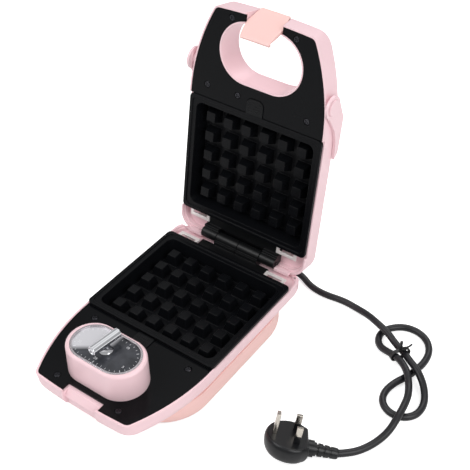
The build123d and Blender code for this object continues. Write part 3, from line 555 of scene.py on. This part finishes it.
class COOKER_OT_timer(CookerOperator):
    """Timer's dial, bezel and knob."""

    bl_idname = "cooker.timer"
    bl_label = "Timer"

    def execute(self, context):
        # Polished chrome plate: a clear mirror with bright streaks
        chrome = worked_metal("Polished chrome plate", "#E9EAEE", 0.05, 0.01, 3.0, 0.0)
        # Satin chrome plate: a grey rim with a soft shine
        rim = worked_metal("Satin chrome plate", "#C2BCC0", 0.25)
        eased("timer_bezel", "base", rim, 0.2 * MM, clamp=True)
        # The dial's colour is a painted reflection, bright at one end and dark at the other
        eased("dial_plate", "base", self.dial_foil(), 0.15 * MM, clamp=True)
        self.knob(chrome)
        self.dial_print(context.scene.cooker_sizes.dial_ticks)
        return {"FINISHED"}

    def dial_foil(self):
        """Silvered foil with a painted reflection: bright at the rear left, and dark with mid-grey
        painted highlight clouds elsewhere.
        """
        material, tree, shader = new_finish(
            "Silvered dial foil, painted reflection", Metallic=0.35, Roughness=0.16
        )
        place = add_node(tree, "ShaderNodeTexCoord").outputs["Object"]
        centred = add_node(
            tree,
            "ShaderNodeMapping",
            inputs={"Location": (0, -TIMER_Y_MM * MM, 0)},
            links={"Vector": place},
        )
        parts = add_node(tree, "ShaderNodeSeparateXYZ", links={"Vector": centred.outputs["Vector"]})
        # Where the painted bright reflection lies: left of the middle and behind a slanted line
        left = add_node(
            tree,
            "ShaderNodeMapRange",
            inputs={"From Min": BRIGHT_REFLECTION_LEFT_MM[0] * MM, "From Max": BRIGHT_REFLECTION_LEFT_MM[1] * MM},
            links={"Value": parts.outputs["X"]},
        )
        slanted = add_node(
            tree,
            "ShaderNodeMath",
            settings={"operation": "MULTIPLY_ADD"},
            inputs={1: BRIGHT_REFLECTION_SLOPE},
            links={0: parts.outputs["X"], 2: parts.outputs["Y"]},
        )
        rear = add_node(
            tree,
            "ShaderNodeMapRange",
            inputs={"From Min": BRIGHT_REFLECTION_REAR_MM[0] * MM, "From Max": BRIGHT_REFLECTION_REAR_MM[1] * MM},
            links={"Value": slanted.outputs[0]},
        )
        both = add_node(
            tree,
            "ShaderNodeMath",
            settings={"operation": "MULTIPLY"},
            links={0: left.outputs["Result"], 1: rear.outputs["Result"]},
        )
        # Painted highlights: mid-grey clouds on the dark part of the painted reflection
        reflection_clouds = add_node(
            tree,
            "ShaderNodeTexNoise",
            inputs={"Scale": REFLECTION_CLOUDS_PER_METRE, "Detail": 2.0},
            links={"Vector": place},
        )
        dark = add_node(
            tree,
            "ShaderNodeMix",
            settings={"data_type": "RGBA"},
            inputs={"A": linear("#0C0D10"), "B": linear("#5A5C63")},
            links={"Factor": reflection_clouds.outputs["Fac"]},
        )
        # The painted bright reflection laid over the dark part
        tint = add_node(
            tree,
            "ShaderNodeMix",
            settings={"data_type": "RGBA"},
            inputs={"B": linear("#DAD9DE")},
            links={"Factor": both.outputs[0], "A": dark.outputs["Result"]},
        )
        tree.links.new(tint.outputs["Result"], shader.inputs["Base Color"])
        return material

    def knob(self, chrome):
        """Bar knob with a stepped cap and a screw in each end."""
        knob = eased("timer_knob", "timer", chrome, 0.4 * MM)
        along = Vector((sin(KNOB_TURN), cos(KNOB_TURN), 0))
        only(knob)
        for side in (1, -1):
            bpy.ops.object.mode_set(mode="EDIT")
            bpy.ops.mesh.select_all(action="DESELECT")
            bpy.ops.mesh.select_mode(type="FACE")
            bpy.ops.object.mode_set(mode="OBJECT")
            ends = [f for f in knob.data.polygons if f.normal.dot(along) * side > END_FACE]
            largest = max(ends, key=lambda face: face.area)
            largest.select = True
            bpy.ops.object.mode_set(mode="EDIT")
            for inset, height in KNOB_CAP_MM:
                bpy.ops.mesh.inset(thickness=inset * MM, depth=height * MM)
            bpy.ops.object.mode_set(mode="OBJECT")
        bpy.ops.object.shade_smooth_by_angle(angle=SMOOTH_ANGLE)

    def dial_print(self, count):
        """Ticks and numbers round the dial, a thin raised print."""
        # Screen-printed ink: a flat white that stands out on the foil
        ink = moulded_plastic("White dial ink", "#E2E2E5", "#D6D6DA", 0.4)
        minor = self.tick(MINOR_TICK_MM)
        major = self.tick(MAJOR_TICK_MM)
        pieces = []
        around = 4 * TRACK_STRAIGHT_MM + 2 * pi * TRACK_RADIUS_MM
        for step in range(count):
            distance = around * step / count
            (x, y), turn = dial_track(distance, TRACK_STRAIGHT_MM, TRACK_RADIUS_MM)
            numbered = step % TICKS_PER_NUMBER == 0
            tick = major if numbered else minor
            pieces.append(copied(tick, (x, TIMER_Y_MM + y, PRINT_Z_MM), turn))
            if numbered:
                minutes = MINUTES_PER_NUMBER * (step // TICKS_PER_NUMBER)
                pieces.append(self.number(str(minutes), distance))
        bpy.data.objects.remove(minor)
        bpy.data.objects.remove(major)
        only(*pieces)
        bpy.ops.object.join()
        prints = pieces[0]
        prints.name = "dial_print"
        prints.data.materials.clear()
        prints.data.materials.append(ink)
        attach(prints, "base")

    def tick(self, size_mm):
        """One tick of the print, with its edges taken off."""
        tick = new_block(size_mm)
        bpy.ops.object.mode_set(mode="EDIT")
        bpy.ops.mesh.select_all(action="SELECT")
        bpy.ops.mesh.bevel(offset=TICK_BEVEL, segments=1)
        bpy.ops.object.mode_set(mode="OBJECT")
        return tick

    def number(self, text, distance):
        """One upright number, as far along a shorter track inside the ticks as its tick is."""
        x, y = dial_track(distance, TRACK_STRAIGHT_MM, TRACK_RADIUS_MM - NUMBER_INSET_MM)[0]
        bpy.ops.object.select_all(action="DESELECT")
        bpy.ops.object.text_add()
        number = bpy.context.object
        number.data.body = text
        number.data.size = NUMBER_HEIGHT_MM * MM
        number.data.extrude = MAJOR_TICK_MM[2] / 2 * MM
        number.data.align_x = "CENTER"
        number.data.align_y = "CENTER"
        bpy.ops.object.convert(target="MESH")
        number = bpy.context.object
        number.data.transform(Matrix.Translation(Vector((x, TIMER_Y_MM + y, PRINT_Z_MM)) * MM))
        return number


class COOKER_OT_cord(CookerOperator):
    """Power cord on the floor, with its bushing, tie and plug, and the rubber feet."""

    bl_idname = "cooker.cord"
    bl_label = "Power cord"

    def execute(self, context):
        sizes = context.scene.cooker_sizes
        route = [Vector(place) * MM for place in CORD_ROUTE_MM]
        cord = new_line("cord_sheath", route, sizes.cord_diameter / 2, 6, 12)
        # Extruded PVC: black with a soft sheen and a slight ripple
        sheath = moulded_plastic(
            "Black PVC sheath", context.scene.cooker_finish.sheath, "#15151A", 0.36, 0.8, 0.05, 0.4
        )
        cord.data.materials.append(sheath)
        # PVC moulded round the cord's ends: smoother and a little glossier than the sheath
        black = moulded_plastic("Black PVC, moulded", "#121316", "#0F1012", 0.3, shine=0.35)
        eased("cord_bushing", "base", black, 0.3 * MM, clamp=True)
        body = eased("plug_body", "base", black, 0.6 * MM)
        relief = eased("plug_relief", "base", black, 0.3 * MM, clamp=True)
        # Plated brass: a warm silver with a fairly sharp shine
        brass = worked_metal("Nickel-plated brass", "#CFC8BE", 0.22)
        pins = eased("plug_pins", "base", brass, 0.3 * MM, clamp=True)
        self.pin_sleeves(pins, black)
        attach(cord, "base")
        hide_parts("power_cord")
        # Plastic ribbon of the tie: a dull black
        ribbon = moulded_plastic("Black tie ribbon", "#151517", "#121214", 0.45)
        dress(ribbon, "twist_tie")
        self.tie_tail(ribbon)
        # Moulded rubber: a matt dark grey
        rubber = moulded_plastic("Black rubber", "#1A1A1A", "#161616", 0.6)
        dress(rubber, "rubber_feet")
        return {"FINISHED"}

    def tie_tail(self, ribbon):
        """Two ends of the tie, twisted together and bent over beside the cord."""
        right = Vector((cos(CAMERA_AZIMUTH), sin(CAMERA_AZIMUTH), 0))
        ahead = Vector((-sin(CAMERA_AZIMUTH), cos(CAMERA_AZIMUTH), 0))
        up = Vector((0, 0, 1))
        start = TIE_PLACE + TAIL_RISE
        bend = start + right * TAIL_BEND
        end = start + right * TAIL_REACH + TAIL_HOOK
        wires = []
        for phase in (0, pi):
            places = []
            for step in range(TAIL_STEPS + 1):
                t = step / TAIL_STEPS
                middle = start * (1 - t) ** 2 + bend * 2 * t * (1 - t) + end * t**2
                angle = 2 * TAIL_TURNS * pi * t + phase
                places.append(middle + (ahead * cos(angle) + up * sin(angle)) * TAIL_TWIST)
            wires.append(new_line("tie_tail", places, WIRE_RADIUS, 3, 4))
        only(*wires)
        bpy.ops.object.convert(target="MESH")
        bpy.ops.object.join()
        tail = bpy.context.object
        bpy.ops.object.shade_smooth_by_angle(angle=WIRE_SMOOTH_ANGLE)
        tail.data.materials.clear()
        tail.data.materials.append(ribbon)
        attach(tail, "base")

    def pin_sleeves(self, pins, plastic):
        """Insulating sleeves on the lower half of the two live pins, cut in at a line."""
        tip = max(vertex.co.dot(PLUG_UP) for vertex in pins.data.vertices if self.live(vertex.co))
        line = tip - BARE_PIN
        only(pins)
        bpy.ops.object.mode_set(mode="EDIT")
        bpy.ops.mesh.select_all(action="SELECT")
        bpy.ops.mesh.bisect(plane_co=PLUG_UP * line, plane_no=PLUG_UP)
        bpy.ops.object.mode_set(mode="OBJECT")
        pins.data.materials.append(plastic)
        for face in pins.data.polygons:
            if self.live(face.center) and face.center.dot(PLUG_UP) < line:
                face.material_index = 1

    def live(self, place):
        """Whether a point belongs to a live pin and not to the earth pin."""
        return (place - PLUG_PLACE).dot(PLUG_ALONG) > LIVE_FROM


class COOKER_OT_stage(CookerOperator):
    """Pale floor, soft light and the camera."""

    bl_idname = "cooker.stage"
    bl_label = "Stage"

    def execute(self, context):
        context.scene.view_settings.view_transform = "Standard"
        self.floor(context.scene)
        self.sky(context.scene)
        self.lamps(context.scene)
        self.camera(context.scene)
        return {"FINISHED"}

    def floor(self, scene):
        """Floor that takes the object's shadow and glows a little to the camera alone."""
        bpy.ops.object.select_all(action="DESELECT")
        bpy.ops.mesh.primitive_plane_add(size=scene.cooker_sizes.floor_width)
        floor = bpy.context.object
        floor.name = "floor"
        # Matt paper: white without a shine
        material, tree, shader = new_finish(
            "White paper", Roughness=0.9, Base_Color=linear("#F4F4F4"), Emission_Color=(1, 1, 1, 1)
        )
        path = add_node(tree, "ShaderNodeLightPath")
        glow = add_node(
            tree,
            "ShaderNodeMath",
            settings={"operation": "MULTIPLY"},
            inputs={1: FLOOR_GLOW},
            links={0: path.outputs["Is Camera Ray"]},
        )
        tree.links.new(glow.outputs[0], shader.inputs["Emission Strength"])
        floor.data.materials.append(material)

    def sky(self, scene):
        """Soft light from all round, white where the camera sees it."""
        world = bpy.data.worlds.new("Soft studio")
        scene.world = world
        world.use_nodes = True
        tree = world.node_tree
        path = add_node(tree, "ShaderNodeLightPath")
        seen = add_node(
            tree,
            "ShaderNodeMath",
            settings={"operation": "MAXIMUM"},
            links={0: path.outputs["Is Camera Ray"], 1: path.outputs["Is Transmission Ray"]},
        )
        toward = add_node(tree, "ShaderNodeTexCoord").outputs["Generated"]
        parts = add_node(tree, "ShaderNodeSeparateXYZ", links={"Vector": toward})
        dome = add_node(tree, "ShaderNodeValToRGB", links={"Fac": parts.outputs["Z"]})
        stops = dome.color_ramp.elements
        stops[0].color = (SKY_LEVEL, SKY_LEVEL, SKY_LEVEL, 1)
        stops[1].color = (SKY_LEVEL, SKY_LEVEL, SKY_LEVEL, 1)
        for height, level in SKY_BANDS:
            stops.new(height).color = (level, level, level, 1)
        strength = add_node(
            tree,
            "ShaderNodeMapRange",
            inputs={"To Max": 1.0},
            links={"Value": seen.outputs[0], "To Min": dome.outputs["Color"]},
        )
        background = tree.nodes["Background"]
        background.inputs["Color"].default_value = (1, 1, 1, 1)
        tree.links.new(strength.outputs["Result"], background.inputs["Strength"])

    def lamps(self, scene):
        """Round lamps in front, at one side and behind."""
        for name, place, power in LAMPS:
            lamp = bpy.data.lights.new(name, "AREA")
            lamp.shape = "DISK"
            lamp.size = LAMP_WIDTH
            lamp.energy = power
            light = bpy.data.objects.new(name, lamp)
            light.location = place
            aim = LAMP_AIM - Vector(place)
            light.rotation_mode = "QUATERNION"
            light.rotation_quaternion = aim.to_track_quat("-Z", "Y")
            scene.collection.objects.link(light)

    def camera(self, scene):
        """Camera at the photograph's viewing angle."""
        lens = bpy.data.cameras.new("camera")
        lens.sensor_width = SENSOR_WIDTH_MM
        lens.lens = FOCAL_LENGTH_MM
        camera = bpy.data.objects.new("camera", lens)
        back = Vector(
            (
                sin(CAMERA_AZIMUTH) * cos(CAMERA_ELEVATION),
                -cos(CAMERA_AZIMUTH) * cos(CAMERA_ELEVATION),
                sin(CAMERA_ELEVATION),
            )
        )
        camera.location = CAMERA_PLACE
        camera.rotation_mode = "QUATERNION"
        camera.rotation_quaternion = (-back).to_track_quat("-Z", "Y")
        scene.collection.objects.link(camera)
        scene.camera = camera


class COOKER_PT_panel(bpy.types.Panel):
    """Sidebar panel that lists the pieces."""

    bl_label = "Waffle maker"
    bl_idname = "COOKER_PT_panel"
    bl_space_type = "VIEW_3D"
    bl_region_type = "UI"
    bl_category = "Waffle maker"

    def draw(self, context):
        for group in (context.scene.cooker_finish, context.scene.cooker_sizes):
            for name in group.__annotations__:
                self.layout.prop(group, name)
        for operator in OPERATORS:
            self.layout.operator(operator.bl_idname)


OPERATORS = (
    COOKER_OT_stage,
    COOKER_OT_cord,
    COOKER_OT_housing,
    COOKER_OT_plates,
    COOKER_OT_hinge,
    COOKER_OT_timer,
)
CLASSES = (CookerFinish, CookerSizes, *OPERATORS, COOKER_PT_panel)


def register():
    """Adds the classes and their settings to the scene."""
    for entry in CLASSES:
        bpy.utils.register_class(entry)
    bpy.types.Scene.cooker_finish = bpy.props.PointerProperty(type=CookerFinish)
    bpy.types.Scene.cooker_sizes = bpy.props.PointerProperty(type=CookerSizes)


def unregister():
    """Takes them out again."""
    del bpy.types.Scene.cooker_finish
    del bpy.types.Scene.cooker_sizes
    for entry in reversed(CLASSES):
        bpy.utils.unregister_class(entry)


def main():
    """Builds everything in order."""
    register()
    bpy.ops.cooker.stage()
    bpy.ops.cooker.cord()
    bpy.ops.cooker.housing()
    bpy.ops.cooker.plates()
    bpy.ops.cooker.hinge()
    bpy.ops.cooker.timer()


if __name__ == "__main__":
    main()
